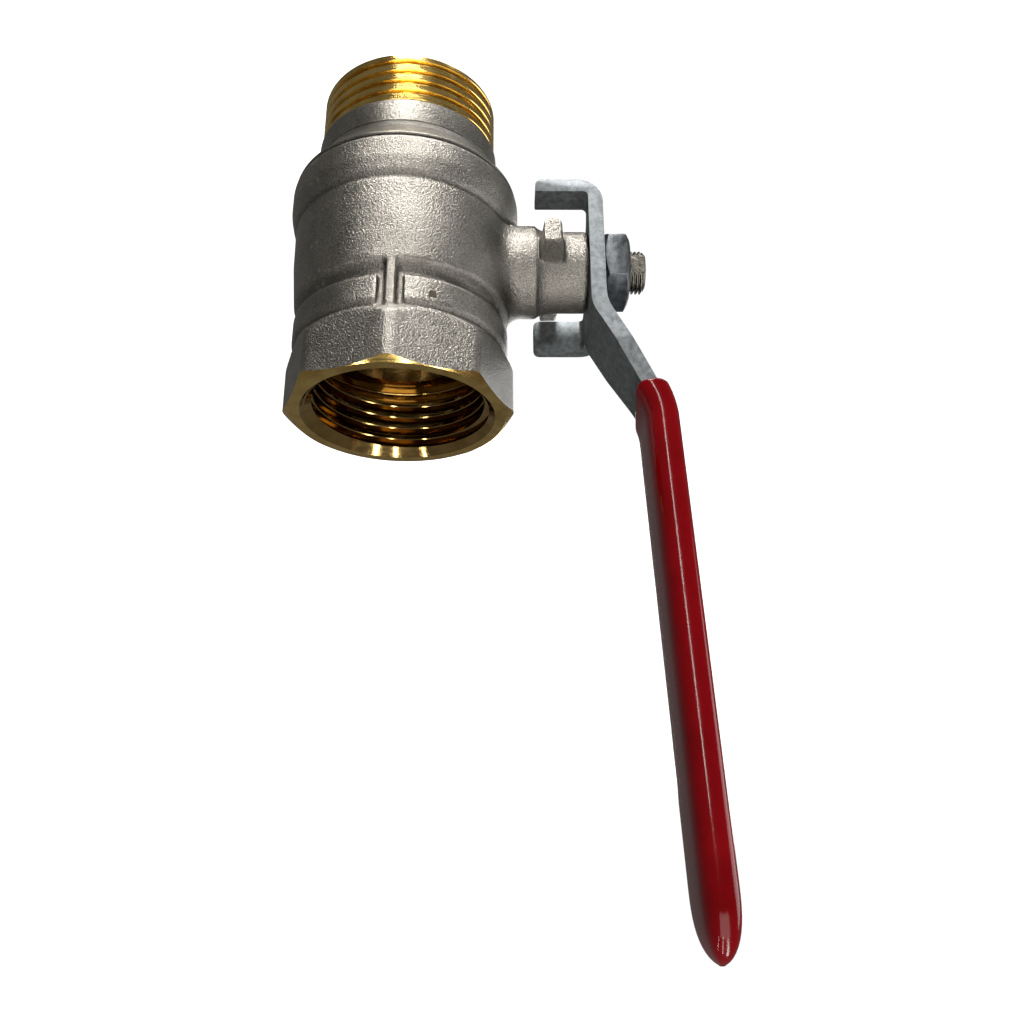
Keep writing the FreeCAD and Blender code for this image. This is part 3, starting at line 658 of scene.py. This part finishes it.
def makeLever(s):
    top = s["low"] + s["thick"]
    slope = (s["secondHigh"] - s["low"]) / (s["secondBend"] - s["firstBend"])
    slopeThick = s["thick"] * math.hypot(1, slope)
    topFirst = s["firstBend"] + (s["thick"] - slopeThick) / slope
    topSecond = s["secondBend"] + (s["thick"] - slopeThick) / (slope - s["rise"])
    side = cutPlate("lever", [
        (s["tabInside"] - s["thick"], s["tabLow"], 1.3), (s["tabInside"], s["tabLow"], 0.3),
        (s["tabInside"], s["low"], 0.9), (s["firstBend"], s["low"], 5.5), (s["secondBend"], s["secondHigh"], 9.5),
        (s["end"], shankLow(s, s["end"])), (s["end"], shankLow(s, s["end"]) + s["thick"]),
        (topSecond, shankLow(s, topSecond) + s["thick"], 6.8), (topFirst, top, 8.2),
        (s["tabInside"] - s["thick"], top, 4.8)], "XZ", -20, 20)
    plan = cutPlate("plan", [
        (-17, -8, 0), (18.5, -s["half"], 6), (26, -s["shankHalf"], 6), (s["end"] - 4, -s["shankHalf"], 2),
        (s["end"] + 0.5, -3), (s["end"] + 0.5, 3), (s["end"] - 4, s["shankHalf"], 2), (26, s["shankHalf"], 6),
        (18.5, s["half"], 6), (10.7, s["half"], 1.5), (9.1, 10.5, 0), (2.6, 10.5, 0), (1.6, s["half"], 1.5),
        (-5, s["half"], 3), (-8.4, 4, 3), (-8.4, -2.6, 4), (-17, -2.6, 0)], "XY", 20, 60)
    combine(side, plan, "INTERSECT")
    tab = cutPlate("tab", [
        (10.0, s["low"]), (12.5, s["low"], 0.9), (12.5, s["tabLow"], 0.2), (15.2, s["tabLow"], 0.5),
        (15.2, top, 3.4), (10.0, top)], "YZ", 2.6, 9.1)
    combine(tab, cutPlate("tabCorners", [(2.6, s["tabLow"], 1.2), (9.1, s["tabLow"], 1.2), (9.1, 38), (2.6, 38)],
                          "XZ", 5, 20), "INTERSECT")
    combine(side, tab, "UNION")
    hole = boxAt("hole", (-4.05, -3.05, 30), (4.05, 3.05, 40))
    combine(side, hole, "DIFFERENCE")
    applyModifier(side, "BEVEL", width=0.32 * mm, segments=3, limit_method="ANGLE", angle_limit=math.radians(40))
    paint(side, zinc)
    shadeSmooth(side, 34)
    return side


sleeve = {"half": 7.9, "thick": 6.05, "start": 26.4, "bendReach": 3.2, "slant": 4.0, "sides": 48}


def makeGrip(g, s):
    # a rounded section drawn along the shank, closing to a blunt point
    bend = s["secondBend"] - 0.6
    slope = math.atan((s["secondHigh"] - s["low"]) / (s["secondBend"] - s["firstBend"]))
    rise = math.atan(s["rise"])
    startLean = slope * 0.25
    reach = g["bendReach"]
    middle = lambda x: shankLow(s, x) + s["thick"] / 2

    def centreLine(x):
        # the height there, the lean of the section, and how much taller the lean makes it
        share = min(max((x - bend) / reach / 2 + 0.5, 0), 1)
        straight = middle(bend) - (bend - x) * math.tan(slope) if x < bend else middle(x)
        rounding = (math.tan(slope) - s["rise"]) / (4 * reach) * max(0, reach - abs(x - bend)) ** 2
        tall = 1 / math.cos((slope - startLean) * (1 - share))
        return straight - rounding, startLean + (rise - startLean) * share, tall

    stations = [(g["start"] + 0.14 * step ** 1.6, size, size) for step, size in enumerate((0.90, 0.97, 1.0))]
    bendEnd = bend + reach
    stations += [(g["start"] + 0.6 + (bendEnd - g["start"] - 0.6) * step / 12, 1.0, 1.0) for step in range(13)]
    stations += [(bendEnd + (107 - bendEnd) * step / 18, 1.0, 1.0) for step in range(1, 19)]
    for step in range(1, 15):
        share = math.sin(step / 14 * math.pi / 2)
        wide = max(0.02, (1 - share ** 2.6)) ** 0.5
        deep = max(0.03, (1 - share ** 3.2)) ** 0.62
        stations.append((107 + 11.6 * share, wide, deep))
    deselectAll()
    bpy.ops.mesh.primitive_circle_add(vertices=g["sides"], radius=mm, fill_type="NGON", location=(0, 0, 0))
    piece = bpy.context.object
    piece.name = "leverGrip"
    power = 0.42
    for vertex in piece.data.vertices:
        angle = math.atan2(vertex.co.y, vertex.co.x)
        across = math.copysign(abs(math.cos(angle)) ** power, math.cos(angle)) * g["half"]
        up = math.copysign(abs(math.sin(angle)) ** (power * 1.9), math.sin(angle)) * g["thick"] / 2
        vertex.co = (0, across * mm, up * mm)
    rings = [vertex.co.copy() for vertex in piece.data.vertices]
    bpy.ops.object.mode_set(mode="EDIT")
    for station in stations[1:]:
        bpy.ops.mesh.select_all(action="DESELECT")
        bpy.ops.object.mode_set(mode="OBJECT")
        last = len(piece.data.vertices) - g["sides"]
        for vertex in piece.data.vertices:
            vertex.select = vertex.index >= last
        for polygon in piece.data.polygons:
            polygon.select = all(index >= last for index in polygon.vertices)
        bpy.ops.object.mode_set(mode="EDIT")
        bpy.ops.mesh.extrude_region_move(TRANSFORM_OT_translate={"value": (mm, 0, 0)})
    bpy.ops.object.mode_set(mode="OBJECT")
    for index, vertex in enumerate(piece.data.vertices):
        x, wide, deep = stations[index // g["sides"]]
        ring = rings[index % g["sides"]]
        # the mouth slants back across the shank, and the slant dies out along the grip
        x += g["slant"] * (0.5 + ring.y / mm / g["half"] / 2) * max(0, 1 - (x - g["start"]) / 18)
        z, lean, tall = centreLine(x)
        up = ring.z * deep * tall
        vertex.co = (x * mm - up * math.sin(lean), ring.y * wide, z * mm + up * math.cos(lean))
    makeActive(piece)
    bpy.ops.object.mode_set(mode="EDIT")
    bpy.ops.mesh.select_all(action="SELECT")
    bpy.ops.mesh.normals_make_consistent(inside=False)
    bpy.ops.object.mode_set(mode="OBJECT")
    paint(piece, vinyl)
    shadeSmooth(piece, 50)
    return piece


lever = makeLever(strip)
grip = makeGrip(sleeve, strip)
for piece, node, slot in ((lever, "lever", "zinc_steel"), (grip, "grip", "red_vinyl")):
    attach(piece, "operator")
    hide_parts(node)
print("lever bent, grip dipped")


hidden = {"ball": chrome, "seat_ring_female_side": teflon, "seat_ring_male_side": teflon, "thrust_washer": teflon,
          "packing_ring": teflon, "gland_nut": brass, "connector_o_ring": rubber, "stem_o_ring_lower": rubber,
          "stem_o_ring_upper": rubber}
for node, material in hidden.items():
    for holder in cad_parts[node].material_slots:
        holder.material = material


stage = {"camera": (0.11273, -0.1618, 0.0186), "azimuth": 21.79, "lift": 0.46, "lens": 36.15,
         "white": 1.05, "surroundings": 0.14}


def makeStage(s):
    world = bpy.data.worlds.new("studio")
    scene.world = world
    world.use_nodes = True
    tree = world.node_tree
    background = tree.nodes["Background"]
    backdrop = tree.nodes.new("ShaderNodeBackground")
    backdrop.inputs["Color"].default_value = (1, 1, 1, 1)
    backdrop.inputs["Strength"].default_value = s["white"]
    background.inputs["Color"].default_value = (1, 0.97, 0.93, 1)
    background.inputs["Strength"].default_value = s["surroundings"]
    path = tree.nodes.new("ShaderNodeLightPath")
    mix = tree.nodes.new("ShaderNodeMixShader")
    tree.links.new(path.outputs["Is Camera Ray"], mix.inputs[0])
    tree.links.new(background.outputs[0], mix.inputs[1])
    tree.links.new(backdrop.outputs[0], mix.inputs[2])
    tree.links.new(mix.outputs[0], tree.nodes["World Output"].inputs["Surface"])
    deselectAll()
    bpy.ops.mesh.primitive_plane_add(size=6, location=(0, 0, cadBox[0][2] - 0.0002))
    floor = bpy.context.object
    floor.name = "paleFloor"
    bpy.ops.object.transform_apply(location=True, rotation=True, scale=True)
    material, tree, shader = newMaterial("paleFloor", Roughness=0.9)
    shader.inputs["Base Color"].default_value = (0.85, 0.85, 0.85, 1)
    shader.inputs["Emission Color"].default_value = (1, 1, 1, 1)
    shader.inputs["Emission Strength"].default_value = 1.05
    floor.data.materials.append(material)
    floor.visible_glossy = False
    floor.visible_diffuse = False


def softLight(name, toward, distance, size, power, colour=(1, 1, 1), sizeAcross=None):
    # a rectangular lamp at a direction and distance from the ball, facing it
    direction = Vector(toward).normalized()
    data = bpy.data.lights.new(name, "AREA")
    data.shape = "RECTANGLE"
    data.size = size
    data.size_y = sizeAcross or size
    data.energy = power
    data.color = colour
    lamp = bpy.data.objects.new(name, data)
    scene.collection.objects.link(lamp)
    lamp.location = direction * distance
    lamp.rotation_euler = (-direction).to_track_quat("-Z", "Y").to_euler()
    return lamp


def makeCamera(s):
    data = bpy.data.cameras.new("camera")
    data.lens = s["lens"]
    data.sensor_width = 36
    data.clip_start = 0.005
    camera = bpy.data.objects.new("camera", data)
    scene.collection.objects.link(camera)
    turn = Matrix.Rotation(math.radians(s["azimuth"]), 3, "Z")
    tilt = Matrix.Rotation(math.radians(90 + s["lift"]), 3, "X")
    roll = Matrix.Rotation(math.radians(90), 3, "Z")
    camera.matrix_world = Matrix.Translation(s["camera"]) @ (turn @ tilt @ roll).to_4x4()
    scene.camera = camera


makeStage(stage)
softLight("key", (-0.86, -0.50, 0.0), 0.60, 0.20, 4.6, (1, 0.97, 0.93))
softLight("streak", (-0.20, -0.97, 0.03), 0.62, 0.34, 0.95, (1, 0.97, 0.93), 0.03)
softLight("portHigh", (0.92, -0.06, 0.29), 0.60, 0.36, 0.68, (1, 0.97, 0.92), 0.035)
softLight("portMiddle", (0.96, -0.15, 0.045), 0.60, 0.36, 0.5, (1, 0.97, 0.92), 0.02)
softLight("portLow", (0.91, -0.10, -0.32), 0.60, 0.36, 0.5, (1, 0.96, 0.90), 0.012)
softLight("front", (0.9, -0.8, 0.1), 0.8, 0.5, 2.2, (1, 0.97, 0.93))
softLight("above", (0.1, 0.1, 1), 0.8, 0.5, 2.5)
softLight("behind", (-0.3, 1, 0.35), 0.8, 0.5, 3)
softLight("maleSide", (-1, -0.1, 0.4), 0.8, 0.4, 1.0)
makeCamera(stage)
print("stage set")
